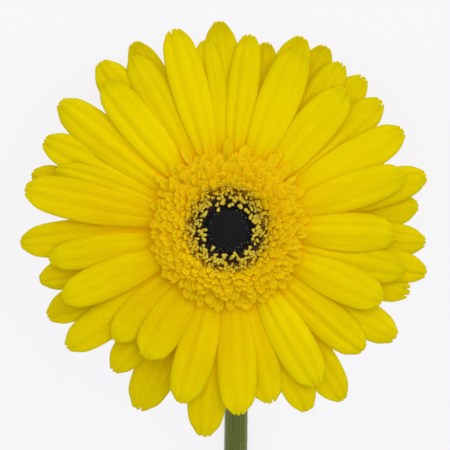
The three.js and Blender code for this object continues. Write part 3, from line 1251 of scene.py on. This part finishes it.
@dataclass
class Crown:
    """The golden crown of small cupped florets round the disc."""

    pose: HeadPose
    seed: int = 5
    rows: int = 12
    columns: int = 7
    thickness: float = 0.22
    count: int = 330
    reach: Pair = (12.4, 20.9)
    uneven: float = 0.035  # how much further the outer florets reach on the far side
    outer_from: float = 17.5  # the reach from which florets go to the outer piece
    fillers: int = 150  # sunk florets, in the gaps between the others
    filled: Pair = (13.5, 20.8)
    filler_width: Pair = (2.2, 3.0)
    filler_depth: Pair = (0.6, 1.1)
    strays: int = 66  # longer florets, over the roots of the petals
    stray: Pair = (19.9, 22.6)
    stray_width: Pair = (1.8, 2.8)
    stray_blunt: Pair = (0.25, 0.4)
    stray_lift: float = 0.1
    upward: float = 3.6  # how much further the strays reach at the far side
    root: float = 10.9  # radius and height of the innermost roots
    foot: float = 3.2
    blunt: float = 0.42
    base: float = 0.4
    shoulder: float = 0.74
    cupped: Pair = (0.2, 0.5)  # how far the edges turn up
    bed: float = 1.5  # how far the ring that carries the florets lies under their tips
    bed_radii: tuple[float, ...] = (16.6, 15.9, 15.1, 14.3, 13.3, 12.3)
    bed_sides: int = 72

    def tip_height(self, reach: float) -> float:
        """Returns how high a floret's tip stands at a reach."""
        return max(7.0 - 0.052 * max(reach - 13, 0) ** 2, 2.9)

    def floret(
        self, reach: float, width: float, blunt: float, bearing: float, draw: Draw, sunk: float = 0.0
    ) -> Array:
        """Gives the middle surface of one floret.

        Args:
            reach: of its tip.
            width: at its widest.
            blunt: how wide its tip is left, as a share of that.
            bearing: in radians.
            draw: its random numbers.
            sunk: how far its tip lies under the crown's top.

        Returns:
            The rows and columns of its points.
        """
        out = reach - self.reach[0]
        width *= 1 + draw.spread(0.18)
        top = self.tip_height(reach) + draw.spread(0.22) - sunk
        hip = reach - (1.3 + 0.3 * out) * (1 + draw.spread(0.15))
        root = np.array([self.root + 0.19 * out + draw.spread(0.5), 0.0, self.foot])
        knee = np.array([max(hip, root[0] + 0.1), 0.0, top - 0.4 + draw.spread(0.2)])
        tip = np.array([reach, 0.0, top])
        t = np.linspace(0, 1, self.rows)[:, None] ** 0.85
        s = np.linspace(-1, 1, self.columns)
        half = blade_outline(t, self.base, self.shoulder, blunt, 1.0) * width / 2
        end = smooth(t, 0.75, 1)
        points = np.repeat(bent(t[..., None], root, knee, tip), self.columns, axis=1)
        points[..., 1] += s * half
        points[..., 2] += draw.between(*self.cupped) * half * np.abs(s) ** 2 * smooth(t, 0.2, 0.8)
        nick = draw.between(0, 0.4) * (np.abs(s) < 0.2)
        points[..., 0] -= end * (0.3 * np.abs(s) ** 3 + nick) * width / 2
        points[..., 2] += end * draw.between(-0.3, 0.2)
        points[..., 1] += draw.spread(0.12) * (points[..., 0] - root[0]) + draw.spread(0.2)
        return turn_z(points, bearing)

    def scatter(self, draw: Draw) -> Iterator[tuple[float, Array, float]]:
        """Sets out the florets: the crown's own, those that fill its gaps, and those past its rim.

        Args:
            draw: the random numbers.

        Yields:
            Each floret's reach, its middle surface and its shade, from golden at 0 to lemon at 1.
        """
        near, far = self.reach
        for k in range(self.count):
            share = (k + 0.5) / self.count
            reach = (near + (far - near) * share**1.15) * (1 + draw.spread(0.055))
            reach *= 1 + self.uneven * share * math.sin(k * GOLDEN_ANGLE)
            width = 1.5 + 0.12 * (reach - near)
            bearing = k * GOLDEN_ANGLE + draw.spread(0.07)
            middle = self.floret(reach, width, self.blunt, bearing, draw)
            yield reach, middle, 0.4 * draw.share() + 0.6 * float(smooth(reach, 16, 22))
        for _ in range(self.fillers):
            reach, bearing = draw.between(*self.filled), draw.between(0, TURN)
            sunk, width = draw.between(*self.filler_depth), draw.between(*self.filler_width)
            yield reach, self.floret(reach, width, self.blunt, bearing, draw, sunk), draw.share()
        for k in range(self.strays):
            bearing = TURN * (k + draw.spread(0.5)) / self.strays
            near, far = self.stray[0], self.stray[1] + self.upward * max(math.sin(bearing), 0)
            reach = near + (far - near) * draw.share() ** 1.2
            width, blunt = draw.between(*self.stray_width), draw.between(*self.stray_blunt)
            middle = self.floret(reach, width, blunt, bearing, draw, -self.stray_lift)
            yield reach, middle, draw.between(0.6, 1.0)

    def build(self, material: bpy.types.Material) -> list[bpy.types.Object]:
        """Makes the crown in two pieces, with the ring that carries them.

        Args:
            material: the florets' finish.

        Returns:
            The pieces.
        """
        outer, inner = Skin(), Skin()
        t = np.linspace(0, 1, self.rows)[:, None]
        s = np.linspace(-1, 1, self.columns)[None, :]
        rim = self.thickness * (0.6 + 0.4 * (1 - np.abs(s) ** 4))
        for reach, middle, tint in self.scatter(Draw(self.seed)):
            skin = outer if reach > self.outer_from else inner
            skin.blade(middle, rim, {"along": t, "across": s, "tint": tint})
        bed = [(radius, self.tip_height(radius) - self.bed) for radius in self.bed_radii]
        outline = [(11.1, 2.0), (12.6, 2.0), (15.0, 2.4), (16.7, 2.8), *bed, (11.1, 3.9)]
        inner.turned(outline, self.bed_sides, hollow=True)
        return [
            settle(skin.build(name, material, self.pose.place), "crown_petal", "trans_florets")
            for name, skin in (("crown_outer", outer), ("crown_inner", inner))
        ]


# ---- The disc ---------------------------------------------------------------------------------


@dataclass
class OpenFlorets:
    """The ring of open florets: pale anthers and stigmas over corollas that are dark by the dome."""

    pose: HeadPose
    seed: int = 11
    count: int = 285
    band: Pair = (6.6, 11.9)  # radii that they stand between
    reach: Pair = (5.5, 12.8)  # radii that their tips stay between
    foot: float = 4.0
    lean: Pair = (0.7, 1.35)  # from upright, in radians
    length: Pair = (1.5, 2.5)
    radius: Pair = (0.43, 0.57)
    forked: float = 0.5  # the share of them that fork
    corollas: int = 420
    corolla_foot: float = 3.5
    corolla_radius: Pair = (0.26, 0.42)
    bed_sides: int = 72
    sides: int = 7
    # A rod's radii, as shares of its thickest, and where along it they are.
    knob_at: tuple[float, ...] = (0.0, 0.25, 0.5, 0.75, 0.93, 1.0)
    knob: tuple[float, ...] = (0.55, 0.75, 0.8, 1.0, 0.75, 0.25)

    def rod(self, skin: Skin, foot: Array, tip: Array, radius: float, values: Values) -> None:
        """Adds one knobbed rod, a little bent.

        Args:
            skin: the piece it goes into.
            foot: where it starts.
            tip: where it ends.
            radius: at its thickest.
            values: numbers for the finish.
        """
        t = np.array(self.knob_at)
        middle = (foot + tip) / 2 + np.array([0, 0, 0.35])
        path = bent(t[:, None], foot, middle, tip)
        skin.tube(path, radius * np.array(self.knob), self.sides, {"along": t, **values})

    def amber(self, radius: Array | float) -> Array:
        """Returns how far the corollas have turned from black to golden brown at a radius."""
        return smooth(radius, 8.4, 11.0)

    def anthers(self, draw: Draw) -> Skin:
        """Gathers the anthers and stigmas.

        Args:
            draw: the random numbers.

        Returns:
            Their surfaces.
        """
        skin = Skin()
        low, high = self.band
        for k in range(self.count):
            share = (k + 0.5) / self.count
            bearing = k * GOLDEN_ANGLE + draw.spread(0.12)
            inner = low + 0.25 + 0.5 * math.sin(5 * bearing + 2) + 0.35 * math.sin(9 * bearing)
            radius = inner + (high - inner) * share**0.72
            foot = np.array([radius, 0.0, self.foot + 1.5 * float(smooth(radius, 9.6, high))])
            lean, way = draw.between(*self.lean), draw.between(0, TURN)
            length = draw.between(*self.length)
            outward = length * math.cos(way) * math.sin(lean)
            outward = float(np.clip(radius + outward, *self.reach)) - radius
            aside = length * math.sin(way) * math.sin(lean)
            tip = foot + np.array([outward, aside, length * math.cos(lean)])
            size = draw.between(*self.radius) - 0.07 * share
            tint = {"tint": 0.4 * draw.share() + 0.6 * float(smooth(radius, 8.0, 11.0))}
            self.rod(skin, turn_z(foot, bearing), turn_z(tip, bearing), size, tint)
            if draw.share() < self.forked:
                fork = foot + (tip - foot) * 0.45
                spur = np.array([draw.spread(0.7), draw.spread(0.9), draw.between(0.5, 1.0)])
                start, end = turn_z(fork, bearing), turn_z(fork + spur, bearing)
                self.rod(skin, start, end, size * 0.8, tint)
        return skin

    def ground(self, draw: Draw) -> Skin:
        """Gathers the corollas and the ring that carries them.

        Args:
            draw: the random numbers.

        Returns:
            Their surfaces.
        """
        skin = Skin()
        low, high = self.band
        for _ in range(self.corollas):
            radius = math.sqrt(low**2 + (high**2 - low**2) * draw.share() ** 1.3)
            foot = turn_z(np.array([radius, 0.0, self.corolla_foot]), draw.between(0, TURN))
            amber = float(self.amber(radius))
            rise = draw.between(0.7, 1.1) + 0.5 * float(smooth(radius, 6.8, 8.4)) + 0.8 * amber
            tip = foot + np.array([draw.spread(0.3), draw.spread(0.3), rise])
            size = draw.between(*self.corolla_radius)
            self.rod(skin, foot, tip, size, {"tint": draw.share(), "across": amber})
        outline = [(6.4, 2.0), (11.0, 2.0), (11.0, 3.5), (10.0, 3.9), (8.8, 4.0), (7.6, 4.0), (6.4, 3.8)]
        skin.turned(outline, self.bed_sides, hollow=True, across=self.amber)
        return skin

    def build(self, pollen: bpy.types.Material, dark: bpy.types.Material) -> list[bpy.types.Object]:
        """Makes the anthers and the corollas under them.

        Args:
            pollen: the anthers' finish.
            dark: the corollas' finish.

        Returns:
            The two pieces.
        """
        draw = Draw(self.seed)
        return [
            settle(skin.build(name, finish, self.pose.place), slot, "open_disc_florets")
            for name, skin, finish, slot in (
                ("open_florets", self.anthers(draw), pollen, "open_floret"),
                ("dark_corollas", self.ground(draw), dark, "closed_bud"),
            )
        ]


@dataclass
class BudDome:
    """The near-black dome of closed buds in the middle."""

    pose: HeadPose
    seed: int = 3
    count: int = 160
    radius: float = 6.35
    top: float = 5.1
    rim: float = 3.85
    underside: float = 2.0
    sides: int = 48
    bud_sides: int = 8
    bud_length: Pair = (0.35, 0.55)
    tipped: float = 0.35  # the share of the buds by the rim with a coloured tip
    # A bud's radii, as shares of its thickest, and where along it they are.
    bud_at: tuple[float, ...] = (0.0, 0.4, 0.75, 0.93, 1.0)
    bud: tuple[float, ...] = (1.0, 1.0, 0.8, 0.45, 0.15)
    # Steps from the dome's rim to its top, as shares of its radius.
    arc: tuple[float, ...] = (1, 0.8, 0.6, 0.4, 0.2, 0)

    def height(self, radius: float) -> float:
        """Returns how high the dome is at a radius."""
        return self.top - (self.top - self.rim) * (radius / self.radius) ** 2

    def build(self, material: bpy.types.Material) -> bpy.types.Object:
        """Makes the dome and its buds.

        Args:
            material: their finish.

        Returns:
            The piece.
        """
        draw, skin = Draw(self.seed), Skin()
        t = np.array(self.bud_at)
        for k in range(self.count):
            radius = (self.radius - 0.35) * math.sqrt((k + 0.5) / self.count)
            foot = np.array([radius, 0.0, self.height(radius) - 0.5])
            way = np.array([0.06 * radius, 0.0, 0.5 + draw.between(*self.bud_length)])
            path = turn_z(foot + t[:, None] * way, k * GOLDEN_ANGLE)
            speck = 0.8 * smooth(radius, 3.8, 5.6) * (draw.share() < self.tipped)
            radii = (0.33 + 0.06 * radius / self.radius) * np.array(self.bud)
            values = {"along": t, "tint": draw.share(), "across": float(speck)}
            skin.tube(path, radii, self.bud_sides, values)
        arc = [(share * self.radius, self.height(share * self.radius)) for share in self.arc]
        skin.turned([(0, self.underside), (self.radius - 0.2, self.underside), *arc], self.sides)
        piece = skin.build("bud_dome", material, self.pose.place)
        return settle(piece, "closed_bud", "disc_buds")


# ---- The cup and the stem ---------------------------------------------------------------------


@dataclass(frozen=True)
class BractRow:
    """One row of bracts: how many, from where to where in radius and height, and how wide."""

    count: int
    foot: Pair
    tip: Pair
    width: float
    bulge: float


@dataclass
class Involucre:
    """The green cup of bracts behind the petals."""

    pose: HeadPose
    seed: int = 17
    depth: float = 13.2  # from the head's middle back to the cup's foot
    rows: tuple[BractRow, ...] = (
        BractRow(15, (5.0, -12.3), (11.3, -6.4), 3.2, 1.0),
        BractRow(17, (6.4, -10.9), (12.9, -4.9), 3.3, 1.0),
        BractRow(19, (8.0, -9.2), (14.2, -3.2), 3.2, 0.9),
        BractRow(24, (9.6, -7.0), (14.3, -1.7), 2.9, 0.6),
    )
    lengthwise: int = 12
    crosswise: int = 7
    sides: int = 60
    hairs: int = 16
    hair_length: Pair = (0.5, 1.1)
    hair_radii: tuple[float, ...] = (0.016, 0.012, 0.004)

    def bract(self, row: BractRow, bearing: float, draw: Draw) -> tuple[Array, Array, Array]:
        """Gives the middle surface of a bract.

        Args:
            row: the row that it is in.
            bearing: in radians.
            draw: its random numbers.

        Returns:
            Its points, with the shares of its length and half-width.
        """
        t = np.linspace(0, 1, self.lengthwise)[:, None]
        s = np.linspace(-1, 1, self.crosswise)[None, :]
        foot, tip = np.array(row.foot), np.array(row.tip)
        tip = tip + np.array([draw.spread(0.5), draw.spread(0.4)])
        way = (tip - foot) / np.linalg.norm(tip - foot)
        out = np.array([way[1], -way[0]])
        flare = 0.5 * smooth(t, 0.7, 1.0) * draw.between(-0.3, 1.0)
        half = row.width / 2 * (1 - smooth(t, 0.35, 1.0) * 0.96) * (0.75 + 0.25 * smooth(t, 0, 0.3))
        keel = 0.3 * (1 - np.abs(s)) - 0.35 * np.abs(s) ** 2
        lift = row.bulge * np.sin(np.pi * t**0.8) + flare + keel * (1 - 0.6 * t)
        radius = foot[0] + (tip[0] - foot[0]) * t + out[0] * lift
        height = foot[1] + (tip[1] - foot[1]) * t + out[1] * lift
        points = np.stack([radius, half * s, height], axis=2)
        return turn_z(points, bearing), t, s

    def bracts(self) -> Iterator[tuple[Array, Array, Array, float]]:
        """Goes round the rows of bracts.

        Yields:
            Each bract's middle surface, the shares of its length and half-width, and its tint.
        """
        draw = Draw(self.seed)
        for index, row in enumerate(self.rows):
            for k in range(row.count):
                turn = (k + index / 2 + draw.spread(0.12)) / row.count
                yield *self.bract(row, TURN * turn, draw), draw.share()

    def build(self, material: bpy.types.Material) -> bpy.types.Object:
        """Makes the cup with its bracts.

        Args:
            material: their finish.

        Returns:
            The piece.
        """
        skin = Skin()
        for middle, t, s, tint in self.bracts():
            skin.blade(middle[:, ::-1], 0.45 - 0.2 * t, {"along": t, "across": s, "tint": tint})
        cup = [(0, -self.depth), (4.2, -self.depth), (5.4, -12.2), (7.7, -9.6), (9.9, -6.8)]
        cup += [(11.1, -4.7), (11.2, -3.8), (0, -3.8)]
        skin.turned(cup, self.sides)
        piece = skin.build("involucre_bracts", material, self.pose.place)
        return settle(piece, "bract", "involucre")

    def down(self, material: bpy.types.Material) -> bpy.types.Object:
        """Makes the fine hairs on the bracts.

        Args:
            material: their finish.

        Returns:
            The piece.
        """
        draw, skin = Draw(self.seed + 1), Skin()
        # Rounded down, these give each row from the second to the last but one, and each column.
        last_row, last_column = self.lengthwise - 1.01, self.crosswise - 0.01
        for middle, _, _, _ in self.bracts():
            for _ in range(self.hairs):
                row, column = int(draw.between(1, last_row)), int(draw.between(0, last_column))
                root = middle[row, column]
                out = root * (1.0, 1.0, 0.0) / np.hypot(root[0], root[1]) - (0.0, 0.0, 0.45)
                along = root - middle[row - 1, column]
                stray = np.array([draw.spread(0.3), draw.spread(0.3), draw.spread(0.2)])
                way = (0.8 * out + 0.5 * along + stray) * draw.between(*self.hair_length)
                skin.hair(root, way, self.hair_radii)
        piece = skin.build("involucre_down", material, self.pose.place)
        return settle(piece, "bract", "involucre")


@dataclass
class Stem:
    """The bare, downy stem: out of the cup, round the neck and along the surface."""

    pose: HeadPose
    seed: int = 29
    length: float = 320.0
    neck_radius: float = 3.1
    stem_radius: float = 3.3
    foot_radius: float = 4.0
    collar_radius: float = 3.9
    collar_length: float = 7.0
    neck_length: float = 60.0
    drop: float = 13.5  # from the head's middle to the top of the stem
    seat: float = 0.8  # how far it goes up into the cup
    neck_offset: float = 2.4  # how far the stem has moved to the right by the end of its neck
    bow: float = 8.0  # how far it bends back to the left by its foot
    bow_from: float = 80.0
    cut_slant: float = 4.0  # how much longer its upper side is than its lower
    facets: int = 12  # of the solid stem, on one of which it lies
    least: float = 0.02  # how low its skin may lie
    sides: int = 72
    ribs: int = 10
    rib_height: float = 0.07
    rib_twist: float = 0.01
    inset: float = 0.05  # of the ribs' middle under the solid's radius
    cut_inset: float = 0.3
    bundles: int = 12
    bundles_at: float = 0.74  # as a share of the cut's radius, like their length
    bundle_length: float = 0.08
    hairs: int = 5200
    hair_length: Pair = (0.2, 0.65)
    hair_slip: Pair = (0.1, 0.6)  # how far down the stem a hair leans
    hair_radii: tuple[float, ...] = (0.017, 0.013, 0.004)

    def radius(self, s: Array) -> Array:
        """Gives the stem's radius.

        Args:
            s: distances down it.

        Returns:
            The radius at each.
        """
        neck, end = self.neck_length, self.length
        collar = (self.collar_radius - self.neck_radius) * (1 - smooth(s, 0, self.collar_length))
        body = self.neck_radius + (self.stem_radius - self.neck_radius) * smooth(s, 0, neck)
        return body + collar + (self.foot_radius - self.stem_radius) * smooth(s, neck, end)

    def line(self, s: Array) -> tuple[Array, Array]:
        """Gives the stem's middle line.

        Args:
            s: distances down it.

        Returns:
            The points there, and the part of the neck's turn that is left at each.
        """
        tilt, flat = self.pose.tilt, math.cos(math.pi / self.facets)
        top_y = -self.drop * math.sin(tilt)
        top_z = self.pose.height - self.drop * math.cos(tilt)
        bend = (top_z - self.stem_radius * flat) / (1 - math.sin(tilt))
        turn = math.pi / 2 - tilt
        left = np.maximum(turn - s / bend, 0)
        y = top_y - bend * math.cos(tilt) + bend * np.sin(left) - np.maximum(s - bend * turn, 0)
        z = top_z + bend * math.sin(tilt) - bend * np.cos(left)
        z = np.where(left == 0, self.radius(s) * flat, z)
        x = self.neck_offset * smooth(s, 0, self.neck_length)
        x = x - self.bow * smooth(s, self.bow_from, self.length)
        centre = self.pose.centre
        return np.stack([centre.x + x, centre.y + y, z], axis=1), left

    def ring(self, s: Array, angles: Array, grow: Array | float) -> Array:
        """Gives points round the stem.

        Args:
            s: distances down it.
            angles: round it, from its right side towards its top.
            grow: what to add to the radius.

        Returns:
            The points, by distance and angle.
        """
        middle, left = self.line(s)
        cut = self.cut_slant * smooth(s, self.length - 1, self.length)
        side = np.array([1.0, 0.0, 0.0])
        over = np.stack([0 * left, -np.sin(left), np.cos(left)], axis=1)
        radius = self.radius(s)[:, None] + grow
        points = middle[:, None] + radius[..., None] * (
            np.cos(angles)[None, :, None] * side + np.sin(angles)[None, :, None] * over[:, None]
        )
        points[..., 1] -= cut[:, None] * (1 + np.sin(angles)) / 2
        points[..., 2] = np.maximum(points[..., 2], self.least)
        return points

    def point(self, s: float, angle: float, grow: float) -> Array:
        """Returns one point by the stem's skin; see ring."""
        return self.ring(np.array([s]), np.array([angle]), grow)[0, 0]

    def skin(self, angles: Array) -> Skin:
        """Gathers the ribbed skin, down to the rounded edge of the cut.

        Args:
            angles: of its points round the stem.

        Returns:
            Its surface.
        """
        end = self.length - np.array([1.0, 0.7, 0.4, 0.15, 0.03, 0.0])
        neck = np.linspace(-self.seat, self.neck_length, 32)
        body = np.linspace(self.neck_length + 4, self.length - 3, 70)
        s = np.concatenate([neck, body, end])
        turn = self.ribs * angles[None, :] + self.rib_twist * s[:, None]
        ribs = self.rib_height * np.sin(turn) - self.inset
        streak = np.cos(angles[::-1]) * 2 + np.sin(2 * angles[::-1])
        values = {"along": s / self.length, "tint": 0.3, "across": np.tile(streak, (len(s), 1))}
        skin = Skin()
        skin.rings(self.ring(s, angles, ribs)[:, ::-1], values)
        return skin

    def cut(self, angles: Array) -> Skin:
        """Gathers the cut face, which sinks a little inside its rim and shows a ring of bundles.

        Args:
            angles: of its points round the stem.

        Returns:
            Its surface.
        """
        edge = self.ring(np.array([self.length]), angles, -self.cut_inset)[0][::-1]
        middle = edge.mean(axis=0)
        shares = np.array([1.0, 0.94, 0.86, 0.78, 0.7, 0.6, 0.4, 0.2, 0.02])
        sink = np.array([0.02, -0.18, -0.24, -0.27, -0.26, -0.22, -0.16, -0.12, -0.1])
        ring = hump(shares, self.bundles_at, self.bundle_length)[:, None]
        bundles = ring * np.maximum(np.cos(self.bundles * angles), 0)[None, :]
        face = middle + (edge - middle)[None] * shares[:, None, None]
        face[..., 1] += sink[:, None] - 0.08 * bundles
        skin = Skin()
        skin.rings(face, {"along": shares, "tint": 0.5, "across": 3 * shares, "depth": bundles})
        return skin

    def build(self, green: bpy.types.Material, pith: bpy.types.Material) -> list[bpy.types.Object]:
        """Makes the stem and its cut face.

        Args:
            green: the skin's finish.
            pith: the cut face's finish.

        Returns:
            The pieces.
        """
        angles = steps_round(self.sides)
        return [
            settle(self.skin(angles).build("stem_skin", green), "stem", "stem"),
            settle(self.cut(angles).build("stem_cut", pith), "stem", "stem"),
        ]

    def down(self, material: bpy.types.Material) -> bpy.types.Object:
        """Makes the fine hairs along the stem.

        Args:
            material: their finish.

        Returns:
            The piece.
        """
        draw, skin = Draw(self.seed), Skin()
        for _ in range(self.hairs):
            s, angle = draw.between(0, self.length - 2), draw.between(-0.35, math.pi + 0.35)
            length, slip = draw.between(*self.hair_length), draw.between(*self.hair_slip)
            root = self.point(s, angle, -self.inset)
            tip = self.point(min(s + slip, self.length), angle + draw.spread(0.1), length)
            skin.hair(root, tip - root, self.hair_radii)
        piece = skin.build("stem_down", material)
        return settle(piece, "stem", "stem")


# ---- Floor, light and camera ------------------------------------------------------------------


@dataclass
class Studio:
    """The pale surface, the soft light and the camera over the flower's face."""

    pose: HeadPose
    photo_px: float = 450.0
    mm_per_px: float = 0.268
    head_px: Pair = (228.0, 230.0)  # where the head's middle comes in the picture
    distance: float = 900.0
    clip_end: float = 20.0  # in metres
    floor_radius: float = 6.0  # in metres
    floor_depth: float = 0.2  # of the floor under the flower's lowest point
    floor_dark: Colour = srgb(104, 104, 106)
    floor_pale: Colour = srgb(107, 107, 109)
    floor_light: Colour = srgb(247, 246, 249)
    floor_strength: float = 0.87
    room_light: Colour = srgb(250, 250, 252)
    room_strength: float = 0.72
    lamp_strength: float = 1.87
    lamp_breadth: float = math.radians(100)
    lamp_colour: tuple[float, float, float] = (1.0, 0.985, 0.96)

    def floor(self) -> bpy.types.Object:
        """Makes the floor.

        Returns:
            The floor.
        """
        f = Finish("pale_floor")
        material = f.finish(
            Base_Color=f.blend(f.noise(f.place(), 3.0), self.floor_dark, self.floor_pale),
            Roughness=0.9,
            Specular_IOR_Level=0.0,
            Emission_Color=self.floor_light,
            Emission_Strength=self.floor_strength,
        )
        bpy.ops.mesh.primitive_circle_add(
            vertices=96,
            radius=self.floor_radius,
            fill_type="NGON",
            location=(0, 0, -self.floor_depth * MM),
        )
        floor = bpy.context.object
        floor.name = "floor"
        floor.data.materials.append(material)
        floor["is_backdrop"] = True
        return floor

    def light(self) -> None:
        """Sets the even surroundings and one broad light over the far side."""
        world = bpy.data.worlds.new("soft_room")
        bpy.context.scene.world = world
        world.use_nodes = True
        background = world.node_tree.nodes["Background"]
        background.inputs["Color"].default_value = self.room_light
        background.inputs["Strength"].default_value = self.room_strength
        lamp = bpy.data.lights.new("broad_light", "SUN")
        lamp.energy = self.lamp_strength
        lamp.angle = self.lamp_breadth
        lamp.color = self.lamp_colour
        sun = bpy.data.objects.new("broad_light", lamp)
        way = self.pose.face + self.pose.far * 0.9 + Vector((0.6, 0, 0))
        sun.rotation_euler = way.to_track_quat("Z", "Y").to_euler()
        bpy.context.scene.collection.objects.link(sun)

    def camera(self) -> None:
        """Places the camera square over the face, as the photo was taken."""
        right = Vector((1, 0, 0))
        middle = self.photo_px / 2
        aim = self.pose.centre - right * (self.head_px[0] - middle) * self.mm_per_px
        aim += self.pose.far * (self.head_px[1] - middle) * self.mm_per_px
        turn = Matrix((right, self.pose.far, self.pose.face)).transposed().to_4x4()
        lens = bpy.data.cameras.new("photo_camera")
        lens.sensor_fit = "HORIZONTAL"
        lens.angle = 2 * math.atan(self.photo_px * self.mm_per_px / 2 / self.distance)
        lens.clip_end = self.clip_end
        camera = bpy.data.objects.new("photo_camera", lens)
        turn.translation = (aim + self.pose.face * self.distance) * MM
        camera.matrix_world = turn
        bpy.context.scene.collection.objects.link(camera)
        bpy.context.scene.camera = camera
        bpy.context.scene.view_settings.view_transform = "Standard"


def write_sizes() -> None:
    boxes = {"cad": CAD_BOX, "visual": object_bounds()}
    {name: [list(map(float, corner)) for corner in box] for name, box in boxes.items()}


def main() -> None:
    """Builds the flower piece by piece, then the studio round it."""
    logging.basicConfig(level=logging.INFO, format="%(name)s: %(message)s")
    pose = HeadPose()
    studio = Studio(pose)
    studio.camera()
    RayPetals(pose).build(PetalFinish().make())
    Receptacle(pose).build(RECEPTACLE_GREEN.make())
    Crown(pose).build(CrownFinish().make())
    OpenFlorets(pose).build(PollenFinish().make(), DarkFloretFinish().make())
    BudDome(pose).build(BudFinish().make())
    down = DownFinish().make()
    cup, stem = Involucre(pose), Stem(pose)
    cup.build(BRACT_GREEN.make())
    cup.down(down)
    stem.build(STEM_GREEN.make(), CUT_GREEN.make())
    stem.down(down)
    studio.floor()
    studio.light()
    write_sizes()


if __name__ == "__main__":
    main()
